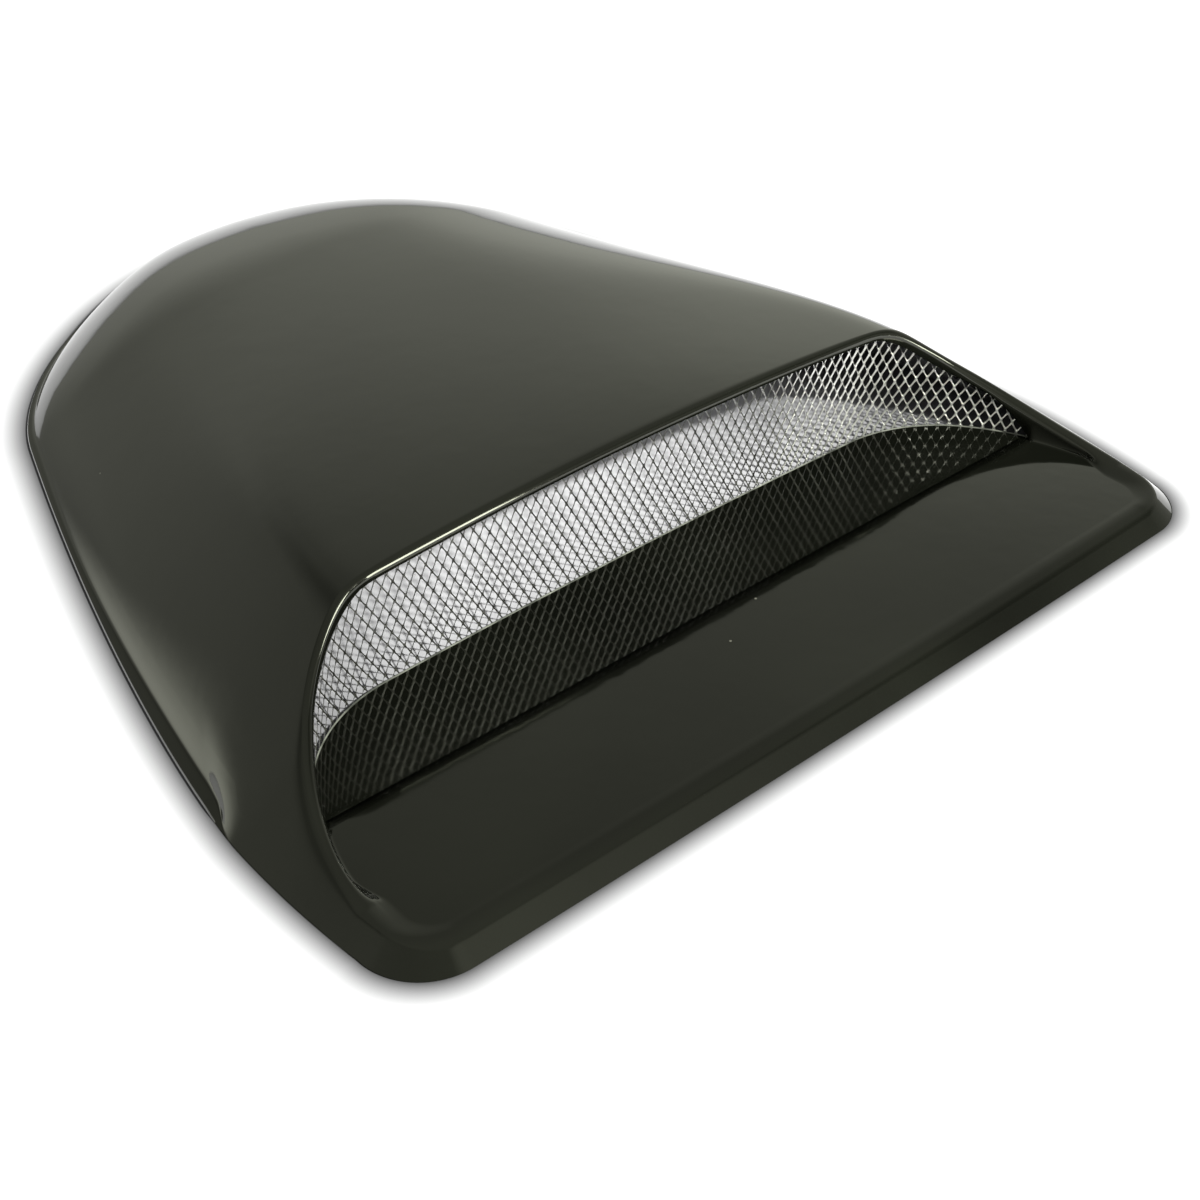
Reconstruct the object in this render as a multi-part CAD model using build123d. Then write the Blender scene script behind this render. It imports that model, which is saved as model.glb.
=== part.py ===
import os
from math import atan2, cos, degrees, exp, log, radians, sin, sqrt, tan
from build123d import *

# Plan of the shell: mouth towards -Y, tail towards +Y, base in the plane Z = 0
shell_length = 538.0
widest_half_width = 237.0
widest_y = 105.0
front_narrowing = 11.0
side_taper = 60.0
side_taper_power = 1.42
tail_start_y = 404.0

# Front edge: a slight bow and rounded corners
front_bow = 1.3
front_corner_radius = 31.0
front_corner_overlap = 0.2

# Sloping wall all round, easing towards the tail, and the crowned roof it meets in a soft shoulder
wall_slope = 41.0
tail_wall_slope = 37.2
wall_ease_start_y = 150.0
wall_ease_end_y = 330.0
roof_height = 69.0
roof_fall = 0.052
roof_break_y = 150.0
roof_break_soft = 22.0
roof_crown = 9.5
lip_shoulder = 3.2
tail_shoulder = 16.9
tail_drop = 1.21
tail_side_lift = 0.2

# Moulded sheet, its rolled foot, and the foot flange that runs out towards the tail
sheet = 3.0
foot_roll = 2.2
tail_foot_roll = 4.4
foot_roll_reach = 4.0
foot_sink = 0.5
flange_width = 7.0
tail_flange_width = 0.8
flange_height = 2.6
flange_start_y = 128.0
flange_blend = 22.0

# Rim of the mouth, seen from the side
rim_front_z = 8.8
rim_flat_y = 42.0
rim_low_y = 75.0
rim_low_z = 16.5
rim_mid_y = 112.0
rim_mid_z = 34.0
rim_high_y = 137.0
rim_high_z = 60.5
rim_end_y = 146.0
rim_end_z = 76.0

# Ramp, and the curved wall of the mouth behind it
ramp_front_y = 11.0
ramp_front_z = 8.2
ramp_rear_z = 3.0
mouth_y = 144.3
mouth_bow = 2.5
mouth_corner_x = 140.0
mouth_corner_radius = 68.0
mouth_cheek_turn = 52.5
mouth_cheek_radius = 120.0
mouth_front_turn = 88.0

# Opening in that wall: its upper edge, seen from the side
open_front_y = 84.0
open_low_y = 103.0
open_low_z = 23.5
open_high_y = 131.0
open_high_z = 44.0
open_end_z = 66.0
lip_depth = 4.4

# Expanded mesh behind the opening
mesh_thickness = 1.2
mesh_gap = 0.15
mesh_front_y = 78.0
mesh_foot = 0.4
mesh_top_gap = 0.4
diamond_pitch = 13.5
diamond_rise = 24.4
strand = 2.2
diamond_start_z = 13.6
diamond_rows = 4

beyond = 45.0


def smooth_step(low, high, value):
    t = min(1.0, max(0.0, (value - low) / (high - low)))
    return t * t * (3 - 2 * t)


def bounded(*lines):
    """Flat face inside a closed chain of lines."""
    return Face(Wire([edge for line in lines for edge in line.edges()]))


def side_half_width(y):
    """Half width of the foot without its rounded tail."""
    if y < widest_y:
        return widest_half_width - front_narrowing * ((widest_y - y) / widest_y) ** 2
    return widest_half_width - side_taper * ((y - widest_y) / (tail_start_y - widest_y)) ** side_taper_power


def tail_round(y, end_y):
    if y < tail_start_y:
        return 1.0
    return sqrt(max(0.0, 1 - ((y - tail_start_y) / (end_y - tail_start_y)) ** 2))


def roof(y):
    return roof_height - roof_fall * roof_break_soft * log(1 + exp((y - roof_break_y) / roof_break_soft))


def wall_ease(front, tail, y):
    """Value that changes along the side wall from the mouth to the tail."""
    return front + (tail - front) * smooth_step(wall_ease_start_y, wall_ease_end_y, y)


def section_height(y, half, drop, behind_step, share):
    """Height of a crosswise arch: rolled foot, sloping side, soft shoulder and crowned roof."""
    reach = half * (1 - share)
    roll = wall_ease(foot_roll, tail_foot_roll, y) * behind_step
    side = tan(radians(wall_ease(wall_slope, tail_wall_slope, y))) * reach
    side += roll * (1 - exp(-reach / foot_roll_reach))
    crown = roof(y) - drop - roof_crown * share ** 2
    soft = lip_shoulder + (tail_shoulder - lip_shoulder) * smooth_step(roof_break_y, tail_start_y, y)
    return min(side, crown) - soft * log(1 + exp(-abs(side - crown) / soft))


def dome(inset, drop, depth):
    """Domed form lofted through crosswise arches; its foot is inset from the plan."""
    end_y = shell_length - tail_flange_width - inset
    foot_z = -foot_sink if depth > 0 else 0.0
    stations = [-beyond + k * (tail_start_y + beyond) / 18 for k in range(18)]
    tail_angles = (0, 17, 33, 47, 59, 69, 77, 83, 87.5)
    stations += [tail_start_y + (end_y - tail_start_y) * sin(radians(a)) for a in tail_angles]
    shares = (0, 0.15, 0.3, 0.42, 0.5, 0.56, 0.61, 0.65, 0.69, 0.73, 0.78, 0.85, 0.92, 0.96, 0.98, 0.991, 1.0)
    across_shares = [-s for s in reversed(shares)] + list(shares[1:])
    arches = []
    for y in stations:
        behind_step = smooth_step(flange_start_y - flange_blend, flange_start_y + flange_blend, y)
        half = side_half_width(y) - wall_ease(flange_width, tail_flange_width, y) * behind_step - inset
        narrow = tail_round(y, end_y)
        arch = []
        for share in across_shares:
            lowering = narrow ** (tail_drop - tail_side_lift * share ** 2)
            z = section_height(y, half, drop, behind_step, abs(share)) * lowering
            z = foot_z if abs(share) == 1.0 else z
            arch.append((share * half * narrow, y, z))
        spread = [(1 + share) / 2 for share in across_shares]
        lines = [Edge.make_spline([Vector(point) for point in arch], parameters=spread)]
        left, right = arch[0], arch[-1]
        if depth > 0:
            lines.append(Polyline(right, (right[0], y, -depth), (left[0], y, -depth), left))
        else:
            lines.append(Line(right, left))
        arches.append(bounded(*lines))
    return loft(arches)


def front_cutter(inset):
    """Everything outside the sloping front wall and its rounded corners."""
    height = rim_front_z + 6.0
    run = height / tan(radians(wall_slope))
    back_y = front_bow + front_corner_radius + 20.0
    corner_y = front_bow + front_corner_radius
    lean = side_half_width(corner_y + 0.5) - side_half_width(corner_y - 0.5)
    stretch = sqrt(1 + lean ** 2)
    corner_x = side_half_width(corner_y) - front_corner_radius * stretch + front_corner_overlap

    def section(shift, z):
        r = front_corner_radius - shift
        end = (corner_x + r / stretch, corner_y - r * lean / stretch)
        half_way = radians(-45)
        mid = (corner_x + r * cos(half_way), corner_y + r * sin(half_way))
        start = (corner_x, corner_y - r)
        lines = [
            ThreePointArc((start[0], start[1], z), (0, start[1] - front_bow, z), (-start[0], start[1], z)),
            ThreePointArc((-start[0], start[1], z), (-mid[0], mid[1], z), (-end[0], end[1], z)),
            Polyline(
                (-end[0], end[1], z),
                (-widest_half_width - beyond, back_y, z),
                (widest_half_width + beyond, back_y, z),
                (end[0], end[1], z),
            ),
            ThreePointArc((end[0], end[1], z), (mid[0], mid[1], z), (start[0], start[1], z)),
        ]
        return bounded(*lines)

    body = loft([section(inset, 0), section(inset + run, height)], ruled=True)
    room = Pos(0, back_y - 100, 0) * Box(
        2 * (widest_half_width + beyond), 200, height, align=(Align.CENTER, Align.CENTER, Align.MIN)
    )
    return room - body


def across(face):
    """Side-view profile drawn in Y and Z, run across the whole width."""
    width = 2 * (widest_half_width + beyond)
    plane = Plane(origin=(-width / 2, 0, 0), x_dir=(0, 1, 0), z_dir=(1, 0, 0))
    return extrude(plane * face, width, dir=(1, 0, 0))


def above_rim(lower, back):
    """Space over the rim: level at the front, sweeping up to the lip."""
    rise = Spline(
        (rim_flat_y, rim_front_z),
        (rim_low_y, rim_low_z),
        (rim_mid_y, rim_mid_z),
        (rim_high_y, rim_high_z),
        (rim_end_y, rim_end_z),
    )
    far = roof_height + beyond
    rest = Polyline(
        (rim_end_y, rim_end_z), (rim_end_y, far), (-2 * beyond, far), (-2 * beyond, rim_front_z),
        (rim_flat_y, rim_front_z),
    )
    return across(bounded(rise, rest).moved(Pos(back, -lower, 0)))


def mouth_lines(grow):
    """Plan of the mouth wall, moved outwards by grow: bowed rear, rounded corners, curved cheeks."""
    bow_radius = (mouth_corner_x ** 2 + mouth_bow ** 2) / (2 * mouth_bow)
    first = degrees(atan2(mouth_corner_x, bow_radius - mouth_bow))
    centre = Vector(0, mouth_y - bow_radius)
    lines = []
    for radius, begin, finish in (
        (bow_radius, 0.0, first),
        (mouth_corner_radius, first, mouth_cheek_turn),
        (mouth_cheek_radius, mouth_cheek_turn, mouth_front_turn),
    ):
        if lines:
            turn = radians(90 - begin)
            centre = joint - Vector(cos(turn), sin(turn)) * radius
        lines.append(CenterArc(centre, radius + grow, 90 - begin, begin - finish))
        turn = radians(90 - finish)
        joint = centre + Vector(cos(turn), sin(turn)) * radius
    last = lines[-1] @ 1
    heading = radians(mouth_front_turn)
    run = (last.Y + beyond) / sin(heading)
    lines.append(Line(last, last + Vector(cos(heading), -sin(heading)) * run))
    return lines


def mouth_prism(grow, low, high):
    """Upright prism of the mouth's curved wall, open towards the front."""
    right = mouth_lines(grow)
    left = [line.mirror(Plane.YZ) for line in right]
    end = right[-1] @ 1
    face = bounded(*right, *left, Line(end, (-end.X, end.Y, 0)))
    return extrude(Pos(0, 0, low) * face, high - low, dir=(0, 0, 1))


def above_ramp(lower):
    slope = (ramp_rear_z - ramp_front_z) / (mouth_y - ramp_front_y)
    far = roof_height + 2 * beyond
    front_y = -2 * beyond
    rear_y = mouth_y + beyond
    front_z = ramp_front_z + slope * (front_y - ramp_front_y) - lower
    rear_z = ramp_front_z + slope * (rear_y - ramp_front_y) - lower
    corners = [(front_y, front_z), (rear_y, rear_z), (rear_y, far), (front_y, far)]
    return across(bounded(Polyline(*corners, close=True)))


def open_edge():
    """Upper edge of the opening, drawn in Y and Z."""
    return Spline(
        (open_front_y, ramp_rear_z),
        (open_low_y, open_low_z),
        (open_high_y, open_high_z),
        (mouth_y, open_end_z),
    )


def below_edge():
    """Space below the opening's upper edge."""
    far_y = mouth_y + beyond
    rest = Polyline(
        (mouth_y, open_end_z), (far_y, open_end_z), (far_y, -beyond), (open_front_y, -beyond),
        (open_front_y, ramp_rear_z),
    )
    return across(bounded(open_edge(), rest))


def diamond_cutters(grow):
    """Staggered diamonds along the mouth wall, kept inside the opening."""
    lines = mouth_lines(grow)
    edge = [open_edge() @ (k / 80) for k in range(81)]
    half_width = (diamond_pitch - strand) / 2
    half_height = (diamond_rise - strand * diamond_rise / diamond_pitch) / 2
    corners = [(half_width, 0), (0, half_height), (-half_width, 0), (0, -half_height)]
    face = bounded(Polyline(*corners, close=True))
    cutters = []
    for row in range(diamond_rows):
        z = diamond_start_z + row * diamond_rise / 2
        along = diamond_pitch / 2 * (row % 2)
        while along < sum(line.length for line in lines):
            rest = along
            for line in lines:
                if rest <= line.length:
                    break
                rest -= line.length
            place = line @ (rest / line.length)
            heading = line % (rest / line.length)
            outward = Vector(-heading.Y, heading.X, 0)
            lowest_y = (place - outward * grow).Y - abs(heading.Y) * half_width
            limit = max([point.Y for point in edge if point.X <= lowest_y] + [0])
            if z + half_height < limit:
                plane = Plane(origin=(place.X, place.Y, z), x_dir=heading, z_dir=outward)
                cutter = extrude(plane * face, 4 * mesh_thickness, both=True)
                cutters.append(cutter)
                if along > 0:
                    cutters.append(cutter.mirror(Plane.YZ))
            along += diamond_pitch
    return cutters


def plan_face(start_y):
    """Foot outline behind start_y, with the rounded tail."""
    right = []
    count = 14
    for k in range(count):
        y = start_y + (tail_start_y - start_y) * k / count
        right.append((side_half_width(y), y))
    for a in (0, 18, 36, 54, 70, 82):
        y = tail_start_y + (shell_length - tail_start_y) * sin(radians(a))
        right.append((side_half_width(y) * cos(radians(a)), y))
    left = [(-x, y) for x, y in reversed(right)]
    curve = Spline(*right, (0, shell_length), *left)
    return bounded(curve, Line(curve @ 1, curve @ 0))


def main():
    wall = sheet / sin(radians(wall_slope))
    top = roof_height + beyond
    outer = dome(0, 0, 0) - front_cutter(0)
    outer = outer + extrude(plan_face(flange_start_y), flange_height, dir=(0, 0, 1))
    inner = dome(wall, sheet, 5) - front_cutter(wall)
    recess = mouth_prism(0, -10, top) & above_ramp(0)
    recess_back = mouth_prism(sheet, -10, top) & above_ramp(sheet)
    form = outer - above_rim(0, 0) - recess
    hollow = inner - above_rim(sheet, sheet * 0.6) - recess_back
    shell = form - hollow
    opening = mouth_prism(sheet + mesh_gap, -10, top) & above_ramp(0) & below_edge()
    shell = shell - (opening & dome(lip_depth / sin(radians(wall_slope)), lip_depth, 5))
    front = sheet + 2 * mesh_gap
    ring = mouth_prism(front + mesh_thickness, mesh_foot, top) - mouth_prism(front, mesh_foot, top)
    ring = ring & hollow.moved(Pos(0, 0, -mesh_top_gap))
    keep = Pos(0, mesh_front_y, 0) * Box(
        3 * widest_half_width, 200, 2 * top, align=(Align.CENTER, Align.MIN, Align.CENTER)
    )
    mesh = ring & keep
    cutters = diamond_cutters(front + mesh_thickness / 2)
    mesh = mesh - cutters
    os.makedirs("parts", exist_ok=True)
    centred = Pos(0, -shell_length / 2, 0)
    export_step(centred * shell, "parts/scoop_shell.step")
    export_step(centred * mesh, "parts/mesh_insert.step")


if __name__ == "__main__":
    main()
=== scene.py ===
from math import atan2, cos, pi, radians, sin, tan

import bmesh
import bpy
import numpy as np
from mathutils import Matrix, Vector


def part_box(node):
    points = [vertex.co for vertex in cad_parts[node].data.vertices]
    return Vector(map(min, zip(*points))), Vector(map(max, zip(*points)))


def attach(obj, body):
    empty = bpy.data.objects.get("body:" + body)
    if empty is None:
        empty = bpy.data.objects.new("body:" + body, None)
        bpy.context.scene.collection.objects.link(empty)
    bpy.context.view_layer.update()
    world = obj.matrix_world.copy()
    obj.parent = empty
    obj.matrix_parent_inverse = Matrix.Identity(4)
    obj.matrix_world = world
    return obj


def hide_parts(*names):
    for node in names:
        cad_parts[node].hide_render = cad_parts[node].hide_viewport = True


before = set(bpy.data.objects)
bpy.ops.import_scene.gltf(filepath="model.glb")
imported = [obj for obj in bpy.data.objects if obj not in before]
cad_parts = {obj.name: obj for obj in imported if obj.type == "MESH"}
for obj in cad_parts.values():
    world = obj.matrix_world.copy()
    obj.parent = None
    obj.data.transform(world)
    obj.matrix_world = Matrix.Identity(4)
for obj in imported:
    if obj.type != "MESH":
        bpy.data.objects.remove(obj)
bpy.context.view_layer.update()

# The pieces are drawn in millimetres: mouth towards -Y, base at Z = 0, front edge at Y = 0
MILLIMETRE = 0.001
shell_low, shell_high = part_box("scoop_shell")
shell_length = round((shell_high[1] - shell_low[1]) / MILLIMETRE, 1)

# Plan of the shell
widest_half_width = 237.0
widest_y = 105.0
front_narrowing = 11.0
side_taper = 60.0
side_taper_power = 1.42
tail_start_y = 404.0
least_narrow = 1e-4
most_share = 1.3
front_bow = 1.3
front_corner_radius = 31.0
front_corner_x = 200.5
front_corner_y = front_bow + front_corner_radius
front_corner_turn = 92.0

# Sloping wall, easing towards the tail, crowned roof and the soft shoulder between them
wall_angle = radians(41.0)
wall_slope = tan(wall_angle)
tail_wall_slope = tan(radians(37.2))
wall_ease_start_y = 150.0
wall_ease_end_y = 330.0
roof_height = 69.0
roof_fall = 0.052
roof_break_y = 150.0
roof_break_soft = 22.0
roof_crown = 9.5
lip_shoulder = 3.2
tail_shoulder = 16.9
tail_drop = 1.21
tail_side_lift = 0.2

# Moulded sheet, its rolled foot, and the foot flange that runs out towards the tail
sheet = 3.0
sheet_level = sheet / sin(wall_angle)
foot_roll = 4.3
tail_foot_roll = 4.6
foot_roll_reach = 7.0
flange_width = 4.2
tail_flange_width = 0.8
flange_height = 2.3
flange_soft = 0.45
front_flange_soft = 0.05
flange_start_y = 124.0
flange_fade = 8.0

# Rings of points by the foot, each as a share of the flange's width and millimetres past it
edge_steps = (
    (0.0, 0.35), (0.25, 0.4), (0.5, 0.45), (0.75, 0.5), (0.92, 0.55), (1.0, 0.8), (1.0, 1.15),
    (1.0, 1.5), (1.0, 2.0), (1.0, 2.7), (1.0, 3.6), (1.0, 4.8), (1.0, 6.4), (1.0, 8.4),
)
foot_edge_inset = 0.25
foot_edge_rise = 0.3
foot_edge_round = 0.5
foot_edge_step = 0.6
foot_reach_share = 0.55

# Character line behind each cheek, where the side wall stands back
step_low_y = 121.0
step_high_y = 147.0
step_high_z = 20.0
step_half_run = 12.0
step_soft_run = 16.0

# Rim of the mouth, ramp, mouth wall and opening
rim_y = (42.0, 75.0, 112.0, 137.0, 146.0)
rim_z = (8.8, 16.5, 34.0, 60.5, 76.0)
rim_soft_front = 0.2
rim_soft_gain = 1.0
rim_soft_start_y = 35.0
rim_soft_end_y = 80.0
rim_under_shift = 0.6
front_crest_y = 9.5
ramp_front_y = 11.0
ramp_front_z = 8.2
ramp_rear_z = 3.0
mouth_y = 144.3
mouth_bow = 2.5
mouth_corner_x = 140.0
mouth_corner_radius = 68.0
mouth_cheek_turn = 52.5
mouth_cheek_radius = 120.0
mouth_front_turn = 88.0
ramp_corner_radius = 20.0
open_y = (84.0, 103.0, 131.0, 144.3)
open_z = (3.0, 23.5, 44.0, 66.0)
lip_depth = 4.4
ramp_rear_gap = 3.15

# Rounding of the lip and of the inner corners
crest_reach = 4.2
crest_share = 0.3
lip_drop_share = 0.8
ramp_drop_share = 0.55
lip_edge_radius = 0.8
ramp_fillet = 1.6
ramp_blend_near = 3.5
ramp_blend_far = 8.0
ramp_blend_lift = 0.15
cut_edge_width = 0.5
cut_edge_burr = 0.45
ramp_insets = (2.5, 6.0)
tall_wall = 6.0
fillet_share = 0.4
fillet_steps = ((0.0, 1.0), (0.29, 0.29), (1.0, 0.0))

# Underside: where the back of the mouth wall runs out, and the least sheet left
back_of_ramp = -1.1
back_full_height = 5.0
back_edge = 0.4
back_edge_share = 0.3
under_share = 0.62
under_least_sheet = 1.5
under_least_height = 0.05

# Counts of points along the outlines and of rings over the shell
arc_count = 200
corner_count = 120
front_count = 160
tail_count = 400
side_count = 600
face_ring_count = 96
face_ring_ease = 0.55
crest_ring_count = 7
under_ring_count = 30

# Stations: spans along the mouth with their counts, then places along the mouth and the foot's Y that match
station_spans = ((0.0, 75), (140.0, 95), (275.0, 48), (330.0, 50))
station_pairs = ((140.0, 205.0), (200.0, 128.0))
cheek_mouth_y = 46.0
cheek_foot_y = 44.0
front_corner_margin = 1.0
side_start_x = 150.0
least_slant = 0.2

# Clean-up of the meshes: distances in metres, and the angle from which an edge stays sharp
weld_distance = 1e-6
sliver_size = 1e-7
sharp_angle = radians(38)

# Expanded mesh behind the opening
mesh_front = 3.35
mesh_front_y = 78.0
mesh_foot = 0.6
mesh_top_gap = 0.6
diamond_pitch = 5.6
diamond_rise = 10.2
diamond_points = 12
diamond_roundness = 1.22
diamond_least_gap = 1.0
strand_width = 0.95
strand_thickness = 0.35
strand_twist = 0.25
strand_twist_right = -0.5
twist_turn_u = (40.0, 150.0)

# Effects that the materials share
dust_colour = (0.3, 0.3, 0.26, 1)
scratch_turns = (24.0, -57.0)
scratch_stretch = (1.0, 0.012, 1.0)
cloud_detail = 2.0
cloud_limits = (0.3, 0.7)

# Black gloss plastic
plastic_dark = (0.0022, 0.0024, 0.0018, 1)
plastic_light = (0.0042, 0.0046, 0.0034, 1)
gloss_tint = (0.985, 1.0, 0.88, 1)
plastic_ior = 1.5
plastic_depth = {"Scale": 7.0, "Low": 0.0, "High": 1.0}
plastic_gloss = {"Scale": 16.0, "Low": 0.045, "High": 0.075}
plastic_ripple = {"Scale": 55.0, "Low": 0.0, "High": 1.0}
plastic_relief = {"Strength": 0.05, "Distance": 0.0004}
plastic_specks = {"Specks per metre": 70.0, "Size": 0.042, "Share": 0.2}
plastic_hairs = {"Scratches per metre": 34.0, "Width": 0.012, "Share": 0.14}
plastic_dust_cover = 0.4
plastic_dust_dulling = 0.45
plastic_hair_dulling = 0.2

# Raw cut edge of the ramp
cut_dark = (0.03, 0.032, 0.028, 1)
cut_light = (0.14, 0.145, 0.13, 1)
cut_patches = {"Scale": 90.0, "Low": 0.0, "High": 1.0}
cut_gloss = {"Scale": 140.0, "Low": 0.4, "High": 0.65}
cut_relief = {"Strength": 0.3, "Distance": 0.0002}
cut_specks = {"Specks per metre": 240.0, "Size": 0.2, "Share": 0.2}
cut_marks = {"Scratches per metre": 180.0, "Width": 0.12, "Share": 0.6}
cut_wear = 0.4

# Expanded aluminium
metal_dull = (0.62, 0.62, 0.6, 1)
metal_bright = (0.86, 0.86, 0.84, 1)
metal_patches = {"Scale": 130.0, "Low": 0.0, "High": 1.0}
metal_gloss = {"Scale": 210.0, "Low": 0.3, "High": 0.46}
metal_relief = {"Strength": 0.15, "Distance": 0.0001}
metal_specks = {"Specks per metre": 320.0, "Size": 0.16, "Share": 0.1}
metal_marks = {"Scratches per metre": 260.0, "Width": 0.1, "Share": 0.5}
metal_dust_cover = 0.3
metal_mark_dulling = 0.1

# Floor: half its width in metres; painted contact shadow as millimetres from the foot and the light left
# there
floor_half = 6.0
floor_points = 300
floor_colour = (0.8, 0.79, 0.89, 1)
painted_contact_shade = ((0.0, 0.1), (4.0, 0.31), (8.0, 0.53), (12.0, 0.74), (18.0, 1.0))

# Surroundings: light by height, then patches as direction, edge, middle and gain
light_tint = (0.985, 1.0, 0.885, 1)
sky_levels = ((0.0, 0.51), (0.2, 0.73), (0.42, 0.68), (0.56, 0.43), (0.72, 0.33), (1.0, 0.42))
sky_patches = (
    ((0.8, -0.55, 0.25), 0.75, 0.97, -0.34),
    ((-0.5, 0.8, 0.35), 0.8, 0.98, -0.18),
    ((-0.72, 0.66, -0.2), 0.84, 0.96, 1.9),
    ((0.66, 0.7, 0.25), 0.8, 0.98, 0.14),
    ((0.82, 0.55, 0.17), 0.91, 0.985, 0.42),
    ((0.35, -0.7, 0.62), 0.93, 0.99, 0.4),
)

# Lamps: direction, distance and size in metres, power in watts
lamp_aim = (0.0, -0.12, 0.06)
front_lamp = ((0.14, -0.72, 0.68), 4.0, (0.16, 0.16), 330.0)
lip_lamp = ((0.36, -0.9, 0.24), 2.5, (0.6, 1.1), 52.0)
strand_lamp = ((-0.3, -0.77, 0.56), 2.5, (0.5, 0.5), 26.0)

# Camera, read from the photograph's own perspective
camera_place = (-0.419893, -0.597852, 0.485765)
camera_azimuth = -39.965
camera_elevation = 38.947
camera_lens = 51.75
sensor_width = 36.0


def smooth_step(low, high, value):
    """0 below low, 1 above high, and a smooth rise between them."""
    t = np.clip((value - low) / (high - low), 0.0, 1.0)
    return t * t * (3 - 2 * t)


def soft_min(a, b, soft):
    """Lesser of two values, rounded off where they cross."""
    return np.minimum(a, b) - soft * np.log1p(np.exp(-np.abs(a - b) / soft))


def soft_max(a, b, soft):
    """Greater of two values, rounded off where they cross."""
    return np.maximum(a, b) + soft * np.log1p(np.exp(-np.abs(a - b) / soft))


def natural_curve(xs, ys, x):
    """Smooth curve through a few points, level before the first and straight past the last."""
    xs, ys = np.array(xs), np.array(ys)
    n, h = len(xs), np.diff(xs)
    system, right = np.eye(n), np.zeros(n)
    for k in range(1, n - 1):
        system[k, k - 1:k + 2] = h[k - 1], 2 * (h[k - 1] + h[k]), h[k]
        right[k] = 6 * ((ys[k + 1] - ys[k]) / h[k] - (ys[k] - ys[k - 1]) / h[k - 1])
    bend = np.linalg.solve(system, right)
    k = np.clip(np.searchsorted(xs, x) - 1, 0, n - 2)
    inside = np.clip(x, xs[0], xs[-1])
    a, b = xs[k + 1] - inside, inside - xs[k]
    curve = (bend[k] * a ** 3 + bend[k + 1] * b ** 3) / (6 * h[k])
    curve += (ys[k] / h[k] - bend[k] * h[k] / 6) * a + (ys[k + 1] / h[k] - bend[k + 1] * h[k] / 6) * b
    last_slope = (ys[-1] - ys[-2]) / h[-1] + h[-1] * bend[-2] / 6
    return curve + np.maximum(0.0, x - xs[-1]) * last_slope


def side_half_width(y):
    """Half the width of the foot."""
    front = widest_half_width - front_narrowing * (np.maximum(0.0, widest_y - y) / widest_y) ** 2
    back = np.maximum(0.0, y - widest_y) / (tail_start_y - widest_y)
    return front - side_taper * back ** side_taper_power


def tail_round(y, end_y):
    """Share of the width that is left where the tail rounds off."""
    past = np.clip((y - tail_start_y) / (end_y - tail_start_y), 0.0, 1.0)
    return np.sqrt(1 - past ** 2)


def roof(y):
    """Height of the roof along its middle."""
    past_break = np.log1p(np.exp((y - roof_break_y) / roof_break_soft))
    return roof_height - roof_fall * roof_break_soft * past_break


def ramp(y):
    """Height of the flat ramp."""
    return ramp_front_z + (ramp_rear_z - ramp_front_z) * (y - ramp_front_y) / (mouth_y - ramp_front_y)


def front_edge(x):
    """Y of the front edge, which is bowed a little."""
    return front_bow * (x / front_corner_x) ** 2


def wall_ease(front, tail, y):
    """Value that changes along the side wall from the mouth to the tail."""
    return front + (tail - front) * smooth_step(wall_ease_start_y, wall_ease_end_y, y)


def behind_step(x, y):
    """1 behind the character line of the side wall, where the wall stands back, and 0 before it."""
    rise = wall_slope * (side_half_width(y) - np.abs(x))
    up = smooth_step(0.0, step_high_z, rise)
    centre = step_low_y + (step_high_y - step_low_y) * up
    half_run = step_half_run + step_soft_run * up
    return smooth_step(centre - half_run, centre + half_run, y)


def dome_height(x, y, inset=0.0, drop=0.0):
    """Height of the domed sheet over a point of the plan."""
    end_y = shell_length - tail_flange_width - inset
    narrow = np.maximum(tail_round(y, end_y), least_narrow)
    behind = behind_step(x, y)
    half = side_half_width(y) - wall_ease(flange_width, tail_flange_width, y) * behind - inset
    share = np.clip(np.abs(x) / (half * narrow), 0.0, most_share)
    reach = half * (1 - share)
    past_x = np.maximum(0.0, np.abs(x) - front_corner_x)
    round_reach = front_corner_radius - np.hypot(past_x, front_corner_y - y) - inset
    straight_reach = y - front_edge(x) - inset
    front_reach = np.where(past_x > 0, round_reach, straight_reach)
    reach = np.where(y < front_corner_y, np.minimum(front_reach, reach), reach)
    roll = wall_ease(foot_roll, tail_foot_roll, y) * behind
    side = wall_ease(wall_slope, tail_wall_slope, y) * reach
    side = side + roll * (1 - np.exp(-np.maximum(reach, 0.0) / foot_roll_reach))
    crown = roof(y) - drop - roof_crown * share ** 2
    soft = lip_shoulder + (tail_shoulder - lip_shoulder) * smooth_step(roof_break_y, tail_start_y, y)
    fall = tail_drop - tail_side_lift * np.minimum(share, 1.0) ** 2
    return soft_min(side, crown, soft) * narrow ** fall


def rim_height(y):
    """Height of the rim that cuts the dome down beside the mouth."""
    return natural_curve(rim_y, rim_z, np.maximum(y, rim_y[0]))


def skin_height(x, y):
    """Outer face: the dome cut down by the rim."""
    soft = rim_soft_front + rim_soft_gain * smooth_step(rim_soft_start_y, rim_soft_end_y, y)
    return soft_min(dome_height(x, y), rim_height(y), soft)


def under_height(x, y):
    """Inner face, one sheet below the outer one."""
    under_rim = rim_height(y - rim_under_shift * sheet) - sheet
    return np.minimum(dome_height(x, y, sheet_level, sheet), under_rim)


def arc_points(centre, radius, first, last, count):
    """Points of an arc; turns are in degrees from +Y towards +X."""
    turn = np.radians(np.linspace(first, last, count))
    return np.stack([centre[0] + radius * np.sin(turn), centre[1] + radius * np.cos(turn)], 1)


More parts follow.
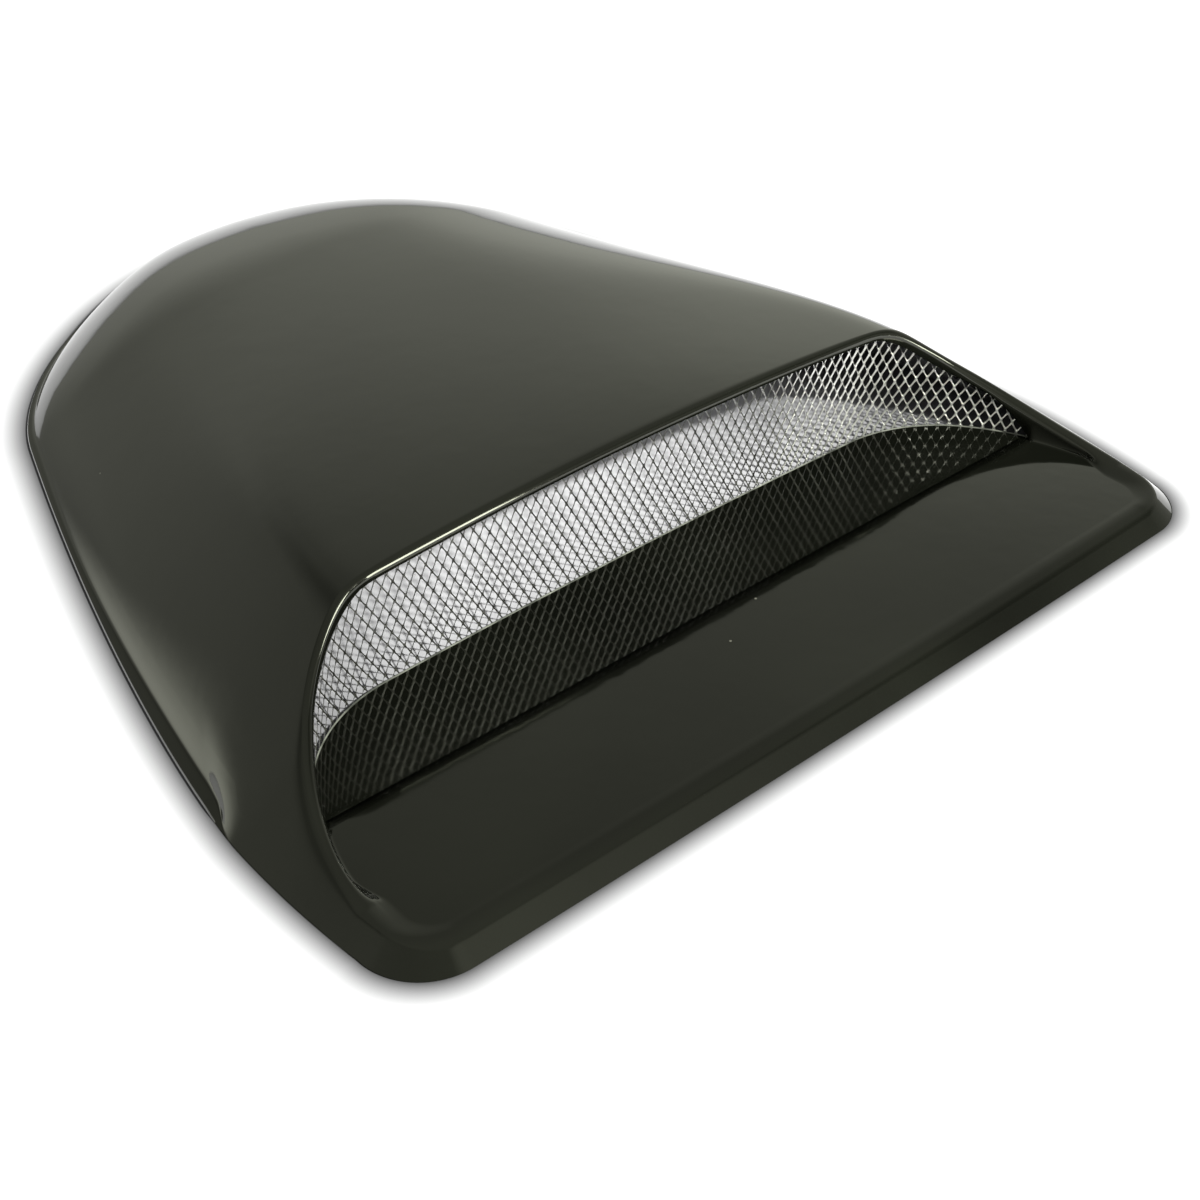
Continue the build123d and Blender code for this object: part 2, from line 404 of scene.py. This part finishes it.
def mouth_outline():
    """Right half of the mouth's plan, from the middle of the lip round to the middle of the front."""
    bow_radius = (mouth_corner_x ** 2 + mouth_bow ** 2) / (2 * mouth_bow)
    bow_turn = np.degrees(atan2(mouth_corner_x, bow_radius - mouth_bow))
    spans = (
        (bow_radius, 0.0, bow_turn),
        (mouth_corner_radius, bow_turn, mouth_cheek_turn),
        (mouth_cheek_radius, mouth_cheek_turn, mouth_front_turn),
    )
    end = np.array([0.0, mouth_y])
    points = []
    for radius, first, last in spans:
        turn = radians(first)
        centre = end - radius * np.array([sin(turn), cos(turn)])
        span = arc_points(centre, radius, first, last, arc_count)
        points.append(span)
        end = span[-1]
    crest_run = ramp(front_crest_y) / wall_slope
    heading = radians(mouth_front_turn)
    corner_y = front_bow + crest_run + ramp_corner_radius
    start_y = corner_y + ramp_corner_radius * cos(heading)
    start_x = end[0] + (end[1] - start_y) * cos(heading) / sin(heading)
    corner_x = start_x - ramp_corner_radius * sin(heading)
    corner = (corner_x, corner_y)
    points.append(arc_points(corner, ramp_corner_radius, mouth_front_turn, 180.0, corner_count))
    x = np.linspace(corner_x, 0.0, front_count)
    points.append(np.stack([x, front_edge(x) + crest_run], 1))
    return np.concatenate(points)


def foot_outline():
    """Right half of the foot's plan, from the tip of the tail to the middle of the front."""
    turn = np.radians(np.linspace(90.0, 0.0, tail_count))
    y = tail_start_y + (shell_length - tail_start_y) * np.sin(turn)
    tail = np.stack([side_half_width(y) * np.cos(turn), y], 1)
    y = np.linspace(tail_start_y, front_corner_y, side_count)
    side = np.stack([side_half_width(y), y], 1)
    centre = (front_corner_x, front_corner_y)
    corner = arc_points(centre, front_corner_radius, front_corner_turn, 180.0, corner_count)
    x = np.linspace(front_corner_x, 0.0, front_count)
    front = np.stack([x, front_edge(x)], 1)
    return np.concatenate([tail, side[1:], corner, front[1:]])


def run_along(points):
    """Run from the start of a line to each of its points."""
    return np.concatenate([[0.0], np.cumsum(np.hypot(*np.diff(points, axis=0).T))])


def at_run(points, run, wanted):
    """Points at the wanted runs along a line."""
    return np.stack([np.interp(wanted, run, points[:, k]) for k in (0, 1)], 1)


def outward(points):
    """Plan normals that point away from the mouth."""
    along = np.gradient(points, axis=0)
    along /= np.hypot(*along.T)[:, None]
    return np.stack([-along[:, 1], along[:, 0]], 1)


def half_outward(points):
    """Plan normals of a right half, whose ends lie on the middle plane."""
    out = outward(points)
    out[0], out[-1] = (0, 1), (0, -1)
    return out


def run_at_y(points, run, y):
    """Run along an outline to the point of its side at a given Y."""
    away = np.where(points[:, 0] < side_start_x, np.inf, np.abs(points[:, 1] - y))
    return run[np.argmin(away)]


def stations():
    """Matching points of the mouth and the foot, from the lip round to the front, right half."""
    mouth, foot = mouth_outline(), foot_outline()
    mouth_run, foot_run = run_along(mouth), run_along(foot)
    ends = [start for start, count in station_spans[1:]] + [mouth_run[-1]]
    spans = [np.linspace(start, end, count)[:-1] for (start, count), end in zip(station_spans, ends)]
    spacing = np.concatenate(spans + [mouth_run[-1:]])
    pairs = [(0.0, 0.0)]
    for mouth_place, foot_y in station_pairs:
        pairs.append((mouth_place, run_at_y(foot, foot_run, foot_y)))
    pairs.append((run_at_y(mouth, mouth_run, cheek_mouth_y), run_at_y(foot, foot_run, cheek_foot_y)))
    mouth_front = run_at_y(mouth, mouth_run, front_corner_y - front_corner_margin)
    foot_front = run_at_y(foot, foot_run, front_corner_y - front_corner_margin)
    pairs.append((mouth_front, foot_front))
    pairs.append((mouth_front + pi / 2 * ramp_corner_radius, foot_front + pi / 2 * front_corner_radius))
    pairs.append((mouth_run[-1], foot_run[-1]))
    keys, values = np.array(pairs).T
    inner = at_run(mouth, mouth_run, spacing)
    outer = at_run(foot, foot_run, np.interp(spacing, keys, values))
    inner[0], outer[0] = (0.0, mouth_y), (0.0, shell_length)
    inner[-1, 0] = outer[-1, 0] = 0.0
    return inner, half_outward(inner), outer, half_outward(outer)


def flange_presence(y):
    """0 before the cheek's step and 1 behind it, where the foot flange runs."""
    return smooth_step(flange_start_y - flange_fade, flange_start_y + flange_fade, y)


def covered_height(plan):
    """Outer face with the foot flange added."""
    started = flange_presence(plan[:, 1])
    soft = front_flange_soft + flange_soft * started
    return soft_max(skin_height(plan[:, 0], plan[:, 1]), flange_height * started, soft)


def raised(plan, z):
    """Points of a plan at one height, or at a height each."""
    return np.concatenate([plan, np.broadcast_to(z, len(plan))[:, None]], 1)


def outer_face(inner, outer, outer_out, fan, reach, slant, flange):
    """Rings from the foot edge over the flange and the outer face, up to the crest."""
    top = covered_height(outer - foot_edge_step * outer_out)
    rings = [raised(outer - foot_edge_inset * outer_out, 0.0), raised(outer, foot_edge_rise)]
    rings.append(raised(outer, np.maximum(foot_edge_rise, top - foot_edge_round)))
    reach_start = np.minimum(crest_reach, crest_share * reach)
    foot_band = flange + edge_steps[-1][1]
    shrink = np.minimum(1.0, foot_reach_share * (reach - reach_start) * slant / foot_band)
    for share, past in edge_steps:
        plan = outer - fan * (shrink * (share * flange + past) / slant)[:, None]
        rings.append(raised(plan, covered_height(plan)))
    first = reach - shrink * foot_band / slant
    for k in range(1, face_ring_count + 1):
        s = 1 - k / face_ring_count
        s = (1 - face_ring_ease) * s + face_ring_ease * smooth_step(0.0, 1.0, s)
        plan = inner + fan * (reach_start + (first - reach_start) * s)[:, None]
        rings.append(raised(plan, covered_height(plan)))
    return rings


def mouth_wall(inner):
    """Heights of the mouth wall's crest and foot, and where it ends over the opening."""
    x, y = inner.T
    ramp_z = ramp(y)
    crest_z = np.maximum(skin_height(x, y), ramp_z)
    lowered = dome_height(x, y, lip_depth / sin(wall_angle), lip_depth)
    open_edge = np.minimum(natural_curve(open_y, open_z, y), lowered)
    open_edge = np.where(y < open_y[0], 0.0, open_edge)
    is_open = np.arange(len(inner)) < np.argmin(open_edge > ramp_z)
    return crest_z, np.where(is_open, open_edge, ramp_z), is_open


def mouth_face(start, inner, inner_out, crest_z, foot_z, is_open):
    """Rings over the rounded crest and down the mouth wall to the lip's edge or the ramp."""
    height = crest_z - foot_z
    drop = np.minimum(crest_reach, np.where(is_open, lip_drop_share, ramp_drop_share) * height)
    radius = np.where(is_open, lip_edge_radius, np.minimum(ramp_fillet, fillet_share * height))
    inward = np.where(is_open, 1.0, -1.0)
    crest = raised(inner, crest_z)
    below = raised(inner, crest_z - drop)
    turns = []
    for k in range(1, crest_ring_count + 1):
        t = k / crest_ring_count
        turns.append((1 - t) ** 2 * start + 2 * t * (1 - t) * crest + t * t * below)
    for side, up in fillet_steps:
        shifted = inner + inner_out * (inward * radius * side)[:, None]
        level = foot_z + radius * up
        if side == 1.0:
            level = np.where(is_open, level, ramp(shifted[:, 1]))
        turns.append(raised(shifted, level))

    # Where the wall is low, one smooth roll from the crest to the ramp takes its place
    near_ramp = inner - inner_out * ramp_blend_near
    far_ramp = inner - inner_out * ramp_blend_far
    bend = raised(near_ramp, ramp(near_ramp[:, 1]) + ramp_blend_lift)
    on_ramp = raised(far_ramp, ramp(far_ramp[:, 1]))
    tall = np.where(is_open, 1.0, smooth_step(0.0, tall_wall, height))[:, None]
    rings = []
    for k, turn in enumerate(turns, 1):
        t = k / len(turns)
        low = (1 - t) ** 3 * start + 3 * t * (1 - t) ** 2 * crest
        low = low + 3 * t * t * (1 - t) * bend + t ** 3 * on_ramp
        rings.append(tall * turn + (1 - tall) * low)
    return rings


def underside(inner, inner_out, height, foot_z, is_open, foot_plan):
    """Rings up the back of the mouth wall and under the sheet, out to the foot again."""
    back_of_wall = back_of_ramp + (sheet - back_of_ramp) * smooth_step(0.0, back_full_height, height)
    back = np.where(is_open, sheet, back_of_wall)
    under_z = np.where(is_open, foot_z, foot_z - sheet)
    back_plan = inner + inner_out * back[:, None]
    near_plan = inner + inner_out * (back - np.where(is_open, lip_edge_radius, back_edge))[:, None]
    under_top = under_height(back_plan[:, 0], back_plan[:, 1])
    lift = np.minimum(lip_edge_radius, back_edge_share * np.abs(under_top - under_z))
    rings = [raised(near_plan, under_z)]
    rings.append(raised(back_plan, under_z + np.sign(under_top - under_z) * lift))
    rings.append(raised(back_plan, under_top))
    for k in range(1, under_ring_count):
        plan = back_plan + (foot_plan - back_plan) * (k / under_ring_count)
        z = np.maximum(under_height(plan[:, 0], plan[:, 1]), under_least_height)
        rings.append(raised(plan, np.minimum(z, covered_height(plan) - under_least_sheet)))
    rings.append(raised(foot_plan, 0.0))
    return rings


def shell_rings():
    """Rings of points from the foot over the outer face, round the lip and back under the sheet."""
    inner, inner_out, outer, outer_out = stations()
    span = outer - inner
    reach = np.hypot(*span.T)
    fan = span / reach[:, None]
    slant = np.clip((fan * outer_out).sum(1), least_slant, 1.0)
    flange = wall_ease(flange_width, tail_flange_width, outer[:, 1]) * flange_presence(outer[:, 1])
    rings = outer_face(inner, outer, outer_out, fan, reach, slant, flange)
    crest_z, foot_z, is_open = mouth_wall(inner)
    rings += mouth_face(rings[-1], inner, inner_out, crest_z, foot_z, is_open)
    top_ring = len(rings) - 1
    foot_plan = outer - fan * np.minimum((sheet_level + flange) / slant, under_share * reach)[:, None]
    rings += underside(inner, inner_out, crest_z - foot_z, foot_z, is_open, foot_plan)
    return np.array(rings), top_ring, int(is_open.sum()), inner, inner_out


def whole_loop(half):
    """Right half followed by its mirror image, as a closed loop."""
    mirror = half[-2:0:-1] * np.array([-1, 1, 1])
    return np.concatenate([half, mirror])


def in_frame(points):
    """Drawn points moved to the middle of the frame, in metres."""
    return ((np.asarray(points) - np.array([0, shell_length / 2, 0])) * MILLIMETRE).tolist()


def new_piece(name, points, faces, materials, marked=()):
    """Closed mesh from points and faces; the marked faces take the second material."""
    mesh = bpy.data.meshes.new(name)
    mesh.from_pydata(in_frame(points), [], faces)
    for face in marked:
        mesh.polygons[face].material_index = 1
    build = bmesh.new()
    build.from_mesh(mesh)
    bmesh.ops.remove_doubles(build, verts=build.verts, dist=weld_distance)
    bmesh.ops.dissolve_degenerate(build, edges=build.edges, dist=sliver_size)
    bmesh.ops.recalc_face_normals(build, faces=build.faces)
    build.to_mesh(mesh)
    build.free()
    mesh.polygons.foreach_set("use_smooth", [True] * len(mesh.polygons))
    mesh.set_sharp_from_angle(angle=sharp_angle)
    for material in materials:
        mesh.materials.append(material)
    piece = bpy.data.objects.new(name, mesh)
    bpy.context.collection.objects.link(piece)
    return piece


def make_shell(materials):
    """Moulded shell: the rings joined by faces, and the ramp across the mouth."""
    rings, top_ring, first_closed, inner, inner_out = shell_rings()
    loops = [whole_loop(ring) for ring in rings]
    around = len(loops[0])
    half = len(rings[0]) - 1
    points = np.concatenate(loops)
    faces = []

    def is_ramp(j):
        return first_closed <= (j if j <= half else 2 * half - j)

    count = len(loops)
    for r in range(count):
        after = (r + 1) % count
        for j in range(around):
            k = (j + 1) % around
            if r == top_ring and is_ramp(j) and is_ramp(k):
                continue
            faces.append((r * around + j, r * around + k, after * around + k, after * around + j))

    # Ramp: its rear edge stands free under the opening
    rear = inner[:first_closed] + inner_out[:first_closed] * ramp_rear_gap
    edges, marked = [], []
    for ring, lower, burr in ((top_ring, 0.0, cut_edge_burr), (top_ring + 1, sheet, 0.0)):
        boundary = rings[ring].copy()
        boundary[:first_closed, :2] = rear
        boundary[:first_closed, 2] = np.maximum(0.0, ramp(rear[:, 1]) - lower) + burr
        loop = whole_loop(boundary)
        index = np.arange(around) + ring * around
        fresh = [j for j in range(around) if not is_ramp(j)]
        index[fresh] = len(points) + np.arange(len(fresh))
        points = np.concatenate([points, loop[fresh]])
        edges.append(index)
        out = half_outward(boundary[:, :2])
        before = index
        for inset in (cut_edge_width, *ramp_insets):
            plan = boundary[:, :2] - out * inset
            plan[0, 0] = plan[-1, 0] = 0.0
            level = np.maximum(0.0, ramp(plan[:, 1]) - lower)
            ring_loop = whole_loop(raised(plan, level))
            index = len(points) + np.arange(around)
            points = np.concatenate([points, ring_loop])
            for j in range(around):
                k = (j + 1) % around
                if inset == cut_edge_width and burr and not is_ramp(j) and not is_ramp(k):
                    marked.append(len(faces))
                faces.append((before[j], before[k], index[k], index[j]))
            before = index
        faces.append((before[0], before[1], before[-1]))
        for j in range(1, half - 1):
            faces.append((before[j], before[j + 1], before[around - j - 1], before[around - j]))
        faces.append((before[half - 1], before[half], before[half + 1]))
    for j in range(around):
        k = (j + 1) % around
        if is_ramp(j) and is_ramp(k):
            continue
        marked.append(len(faces))
        faces.append((edges[0][j], edges[0][k], edges[1][k], edges[1][j]))
    faces = [tuple(int(v) for v in face) for face in faces]
    return new_piece("scoop_skin", points, faces, materials, marked)


def diamond():
    """Outer and inner loop of one diamond, along the mesh and up, and how far its strands lean."""
    turn = np.radians(np.arange(diamond_points) * 360.0 / diamond_points)
    cosine, sine = np.cos(turn), np.sin(turn)
    outer_u = diamond_pitch / 2 * np.sign(cosine) * cosine ** 2
    outer_z = diamond_rise / 2 * np.sign(sine) * sine ** 2
    inradius = diamond_pitch * diamond_rise / 4 / np.hypot(diamond_pitch / 2, diamond_rise / 2)
    shrink = 1 - strand_width / 2 / inradius
    soft_power = 2 / diamond_roundness
    inner_u = shrink * diamond_pitch / 2 * np.sign(cosine) * np.abs(cosine) ** soft_power
    inner_z = shrink * diamond_rise / 2 * np.sign(sine) * np.abs(sine) ** soft_power
    loops_u = np.concatenate([outer_u, inner_u, inner_u, outer_u])
    loops_z = np.concatenate([outer_z, inner_z, inner_z, outer_z])
    return loops_u, loops_z, inner_z / inner_z.max()


def make_mesh(material):
    """Expanded metal: staggered diamonds with tilted strands, following the mouth wall."""
    mouth = mouth_outline()
    curve = mouth + outward(mouth) * mesh_front

    # Only the three arcs from the lip to the cheek carry the mesh
    keep = (curve[:, 1] >= mesh_front_y) & (np.arange(len(curve)) < 3 * arc_count)
    curve = curve[keep]
    curve[0] = (0.0, mouth_y + mesh_front)
    curve_out = outward(curve)
    curve_out[0] = (0, 1)
    run = run_along(curve)
    loops_u, loops_z, tilt = diamond()
    steps_u = int(run[-1] / diamond_pitch) + 2
    steps_z = int(roof_height / (diamond_rise / 2)) + 2
    points, faces = [], []
    for row in range(steps_z):
        z = mesh_foot + row * diamond_rise / 2
        for step in range(-steps_u, steps_u + 1):
            u = (step + 0.5 * (row % 2)) * diamond_pitch
            if abs(u) > run[-1] - diamond_pitch / 2:
                continue
            us = u + loops_u
            to_right = smooth_step(*twist_turn_u, u)
            lean = tilt * (strand_twist + (strand_twist_right - strand_twist) * to_right)
            depth = np.concatenate([0 * lean, lean, lean + strand_thickness, 0 * lean + strand_thickness])
            # All set back alike, so that strands that lean forward stay clear of the lip
            depth = depth + abs(strand_twist_right)
            side = np.where(us < 0, -1.0, 1.0)
            plan = at_run(curve, run, np.abs(us))
            out = at_run(curve_out, run, np.abs(us))
            plan = plan + out * depth[:, None]
            top = under_height(plan[:, 0], plan[:, 1]) - mesh_top_gap
            if z > top.min() - diamond_least_gap:
                continue
            zs = np.clip(z + loops_z, mesh_foot, top)
            start = len(points)
            points.extend(np.stack([plan[:, 0] * side, plan[:, 1], zs], 1).tolist())
            for a in range(diamond_points):
                b = (a + 1) % diamond_points
                for loop in range(3):
                    low = start + loop * diamond_points
                    high = low + diamond_points
                    faces.append((low + a, low + b, high + b, high + a))
    return new_piece("expanded_mesh", points, faces, [material])


def add_node(tree, kind, inputs=None, **settings):
    """New shader node; an input is set to a value or linked to another node's output."""
    node = tree.nodes.new(kind)
    for name, value in settings.items():
        setattr(node, name, value)
    for socket, value in (inputs or {}).items():
        if isinstance(value, bpy.types.NodeSocket):
            tree.links.new(value, node.inputs[socket])
        else:
            node.inputs[socket].default_value = value
    return node


def combined(tree, first, second, operation="ADD"):
    """Two values worked into one by a maths node."""
    return add_node(tree, "ShaderNodeMath", {0: first, 1: second}, operation=operation).outputs[0]


def mixed(tree, factor, first, second):
    """Colour between two others."""
    colours = {"Factor": factor, "A": first, "B": second}
    return add_node(tree, "ShaderNodeMix", colours, data_type="RGBA").outputs["Result"]


def ramped(tree, value, low, high, out_low=0.0, out_high=1.0):
    """Value carried smoothly from one range to another."""
    limits = {"Value": value, "From Min": low, "From Max": high, "To Min": out_low, "To Max": out_high}
    return add_node(tree, "ShaderNodeMapRange", limits, interpolation_type="SMOOTHSTEP").outputs["Result"]


def new_group(name, inputs, output):
    """Empty node group with named number inputs and one number output."""
    tree = bpy.data.node_groups.new(name, "ShaderNodeTree")
    for label, default in inputs:
        socket = tree.interface.new_socket(label, in_out="INPUT", socket_type="NodeSocketFloat")
        socket.default_value = default
    tree.interface.new_socket(output, in_out="OUTPUT", socket_type="NodeSocketFloat")
    given = tree.nodes.new("NodeGroupInput").outputs
    result = tree.nodes.new("NodeGroupOutput").inputs
    return tree, given, result


def place_on(tree):
    """Place on the piece, so that its texture stays with it."""
    return add_node(tree, "ShaderNodeTexCoord").outputs["Object"]


def cloudy_value_group():
    """Slow change between a low and a high value over the surface."""
    inputs = (("Scale", 10.0), ("Low", 0.0), ("High", 1.0))
    tree, given, result = new_group("cloudy_value", inputs, "Value")
    clouds = {"Vector": place_on(tree), "Scale": given["Scale"], "Detail": cloud_detail}
    noise = add_node(tree, "ShaderNodeTexNoise", clouds)
    value = ramped(tree, noise.outputs["Fac"], *cloud_limits, given["Low"], given["High"])
    tree.links.new(value, result["Value"])
    return tree


def dust_group():
    """Sparse round specks of dust."""
    inputs = (("Specks per metre", 60.0), ("Size", 0.05), ("Share", 0.2))
    tree, given, result = new_group("dust_specks", inputs, "Mask")
    spread = {"Vector": place_on(tree), "Scale": given["Specks per metre"]}
    cells = add_node(tree, "ShaderNodeTexVoronoi", spread)
    chance = add_node(tree, "ShaderNodeSeparateColor", {"Color": cells.outputs["Color"]})
    chosen = combined(tree, chance.outputs["Red"], given["Share"], "LESS_THAN")
    reach = combined(tree, given["Size"], chance.outputs["Green"], "MULTIPLY")
    near = combined(tree, cells.outputs["Distance"], reach, "LESS_THAN")
    tree.links.new(combined(tree, near, chosen, "MULTIPLY"), result["Mask"])
    return tree


def scratch_group():
    """Sparse hairline scratches from handling."""
    inputs = (("Scratches per metre", 20.0), ("Width", 0.02), ("Share", 0.2))
    tree, given, result = new_group("hair_scratches", inputs, "Mask")
    masks = []
    for turn in scratch_turns:
        stretch = {"Vector": place_on(tree), "Rotation": (0, 0, radians(turn)), "Scale": scratch_stretch}
        place = add_node(tree, "ShaderNodeMapping", stretch).outputs["Vector"]
        spread = {"Vector": place, "Scale": given["Scratches per metre"]}
        cells = add_node(tree, "ShaderNodeTexVoronoi", spread)
        chance = add_node(tree, "ShaderNodeSeparateColor", {"Color": cells.outputs["Color"]})
        chosen = combined(tree, chance.outputs["Blue"], given["Share"], "LESS_THAN")
        near = combined(tree, cells.outputs["Distance"], given["Width"], "LESS_THAN")
        masks.append(combined(tree, near, chosen, "MULTIPLY"))
    tree.links.new(combined(tree, masks[0], masks[1], "MAXIMUM"), result["Mask"])
    return tree


def use_group(tree, group, inputs):
    """Output of a shared effect with a material's own values."""
    return add_node(tree, "ShaderNodeGroup", inputs, node_tree=group).outputs[0]


def blank_material(name):
    """New material with its node tree and its shader."""
    material = bpy.data.materials.new(name)
    material.use_nodes = True
    return material, material.node_tree, material.node_tree.nodes["Principled BSDF"]


def dress(tree, shader, colour, gloss, relief):
    """Link a material's colour, roughness and relief to its shader."""
    bump = add_node(tree, "ShaderNodeBump", relief)
    tree.links.new(colour, shader.inputs["Base Color"])
    tree.links.new(gloss, shader.inputs["Roughness"])
    tree.links.new(bump.outputs["Normal"], shader.inputs["Normal"])


def gloss_plastic(cloudy, dust, scratches):
    """Black moulded plastic with a high gloss, faint ripple, dust and hairline scratches."""
    material, tree, shader = blank_material("gloss_black_plastic")
    specks = use_group(tree, dust, plastic_specks)
    hairs = use_group(tree, scratches, plastic_hairs)
    body = mixed(tree, use_group(tree, cloudy, plastic_depth), plastic_dark, plastic_light)
    colour = mixed(tree, combined(tree, specks, plastic_dust_cover, "MULTIPLY"), body, dust_colour)
    gloss = use_group(tree, cloudy, plastic_gloss)
    gloss = combined(tree, gloss, combined(tree, hairs, plastic_hair_dulling, "MULTIPLY"))
    gloss = combined(tree, gloss, combined(tree, specks, plastic_dust_dulling, "MULTIPLY"))
    ripple = use_group(tree, cloudy, plastic_ripple)
    dress(tree, shader, colour, gloss, {"Height": ripple, **plastic_relief})
    shader.inputs["IOR"].default_value = plastic_ior
    shader.inputs["Specular Tint"].default_value = gloss_tint
    return material


def cut_plastic(cloudy, dust, scratches):
    """Raw edge of the ramp, whitened where it was cut."""
    material, tree, shader = blank_material("cut_plastic_edge")
    marks = use_group(tree, scratches, cut_marks)
    specks = use_group(tree, dust, cut_specks)
    body = mixed(tree, use_group(tree, cloudy, cut_patches), cut_dark, cut_light)
    worn = combined(tree, combined(tree, specks, marks, "MAXIMUM"), cut_wear, "MULTIPLY")
    colour = mixed(tree, worn, body, dust_colour)
    gloss = use_group(tree, cloudy, cut_gloss)
    dress(tree, shader, colour, gloss, {"Height": marks, **cut_relief})
    return material


def bright_metal(cloudy, dust, scratches):
    """Expanded aluminium: bright, with slightly dull patches and rolling marks."""
    material, tree, shader = blank_material("bright_aluminium")
    marks = use_group(tree, scratches, metal_marks)
    specks = use_group(tree, dust, metal_specks)
    body = mixed(tree, use_group(tree, cloudy, metal_patches), metal_dull, metal_bright)
    colour = mixed(tree, combined(tree, specks, metal_dust_cover, "MULTIPLY"), body, dust_colour)
    gloss = use_group(tree, cloudy, metal_gloss)
    gloss = combined(tree, gloss, combined(tree, marks, metal_mark_dulling, "MULTIPLY"))
    dress(tree, shader, colour, gloss, {"Height": marks, **metal_relief})
    shader.inputs["Metallic"].default_value = 1.0
    return material


def pale_floor():
    """Even pale floor with a contact shadow painted into its colour, seen by the camera only."""
    material = bpy.data.materials.new("pale_floor")
    material.use_nodes = True
    tree = material.node_tree
    tree.nodes.clear()
    # Painted contact shadow: the shade attribute darkens the floor's colour for camera rays
    shade = add_node(tree, "ShaderNodeAttribute", attribute_name="shade").outputs["Fac"]
    seen = add_node(tree, "ShaderNodeLightPath").outputs["Is Camera Ray"]
    darker = combined(tree, seen, combined(tree, 1.0, shade, "SUBTRACT"), "MULTIPLY")
    colour = mixed(tree, darker, floor_colour, (0, 0, 0, 1))
    diffuse = add_node(tree, "ShaderNodeBsdfDiffuse", {"Color": colour})
    add_node(tree, "ShaderNodeOutputMaterial", {"Surface": diffuse.outputs["BSDF"]})
    return material


def make_floor():
    """Floor in rings round the foot, with the painted contact shadow fading outwards from ring to ring."""
    foot = foot_outline()
    run = run_along(foot)
    half = at_run(foot, run, np.linspace(0.0, run[-1], floor_points))
    out = half_outward(half)
    middle = np.array([0.0, shell_length / 2])
    away = half - middle
    far = middle + away / np.hypot(*away.T)[:, None] * (floor_half / MILLIMETRE)
    plans = [half * 0.0 + middle, half - out, *(half + out * reach for reach, shade in painted_contact_shade), far]
    shades = [1.0, painted_contact_shade[0][1], *(shade for reach, shade in painted_contact_shade), 1.0]
    loops = [whole_loop(raised(plan, 0.0)) for plan in plans]
    around = len(loops[0])
    faces = []
    for ring in range(len(loops) - 1):
        for j in range(around):
            k = (j + 1) % around
            low, high = ring * around, (ring + 1) * around
            faces.append((low + j, high + j, high + k, low + k) if ring else (j, high + j, high + k))
    mesh = bpy.data.meshes.new("floor")
    mesh.from_pydata(in_frame(np.concatenate(loops)), [], faces)
    # The shade attribute carries the painted contact shadow, darkest at the foot
    mesh.attributes.new("shade", "FLOAT", "POINT").data.foreach_set("value", np.repeat(shades, around))
    floor = bpy.data.objects.new("floor", mesh)
    bpy.context.collection.objects.link(floor)
    mesh.materials.append(pale_floor())


def make_surroundings():
    """Soft studio surroundings: brighter low down, with lighter and darker patches."""
    world = bpy.data.worlds.new("studio")
    bpy.context.scene.world = world
    world.use_nodes = True
    tree = world.node_tree
    direction = add_node(tree, "ShaderNodeTexCoord").outputs["Generated"]
    height = add_node(tree, "ShaderNodeSeparateXYZ", {"Vector": direction}).outputs["Z"]
    level = add_node(tree, "ShaderNodeValToRGB", {"Fac": height})
    stops = level.color_ramp.elements
    while len(stops) < len(sky_levels):
        stops.new(0.5)
    for stop, (place, light) in zip(stops, sky_levels):
        stop.position = place
        stop.color = (light, light, light, 1)
    strength = level.outputs["Color"]
    for towards, edge, middle, gain in sky_patches:
        facing = add_node(tree, "ShaderNodeVectorMath", {0: direction, 1: towards}, operation="DOT_PRODUCT")
        patch = ramped(tree, facing.outputs["Value"], edge, middle, 0.0, gain)
        strength = combined(tree, strength, patch)
    back = tree.nodes["Background"]
    back.inputs["Color"].default_value = light_tint
    tree.links.new(strength, back.inputs["Strength"])


def make_lamp(name, direction, distance, size, power):
    """Area lamp turned to the mouth, out of the camera's sight."""
    data = bpy.data.lights.new(name, "AREA")
    data.shape = "RECTANGLE"
    data.size, data.size_y = size
    data.energy = power
    data.color = light_tint[:3]
    lamp = bpy.data.objects.new(name, data)
    bpy.context.collection.objects.link(lamp)
    away = Vector(direction).normalized()
    lamp.location = Vector(lamp_aim) + away * distance
    lamp.rotation_euler = away.to_track_quat("Z", "Y").to_euler()
    lamp.visible_camera = False
    return lamp


def make_light(mesh):
    """Surroundings and lamps; the strand lamp reaches only the mesh, the lip lamp all else."""
    make_surroundings()
    make_lamp("front_lamp", *front_lamp).visible_glossy = False
    for name, lamp, state in (("strand_lamp", strand_lamp, "INCLUDE"), ("lip_lamp", lip_lamp, "EXCLUDE")):
        reached = bpy.data.collections.new(name + "_reach")
        reached.objects.link(mesh)
        reached.collection_objects[0].light_linking.link_state = state
        make_lamp(name, *lamp).light_linking.receiver_collection = reached


def make_camera():
    """Camera at the photograph's viewing angle."""
    data = bpy.data.cameras.new("camera")
    data.lens = camera_lens
    data.sensor_width = sensor_width
    camera = bpy.data.objects.new("camera", data)
    bpy.context.collection.objects.link(camera)
    azimuth, elevation = radians(camera_azimuth), radians(camera_elevation)
    back = Vector((sin(azimuth) * cos(elevation), -cos(azimuth) * cos(elevation), sin(elevation)))
    right = Vector((cos(azimuth), sin(azimuth), 0))
    up = back.cross(right)
    turn = Matrix((right, up, back)).transposed().to_4x4()
    camera.matrix_world = Matrix.Translation(camera_place) @ turn
    bpy.context.scene.camera = camera


effects = (cloudy_value_group(), dust_group(), scratch_group())
plastic = gloss_plastic(*effects)
metal = bright_metal(*effects)
skin = make_shell([plastic, cut_plastic(*effects)])
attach(skin, "root")
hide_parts("scoop_shell")
mesh = make_mesh(metal)
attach(mesh, "root")
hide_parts("mesh_insert")
make_floor()
make_light(mesh)
make_camera()
bpy.context.scene.view_settings.view_transform = "Standard"
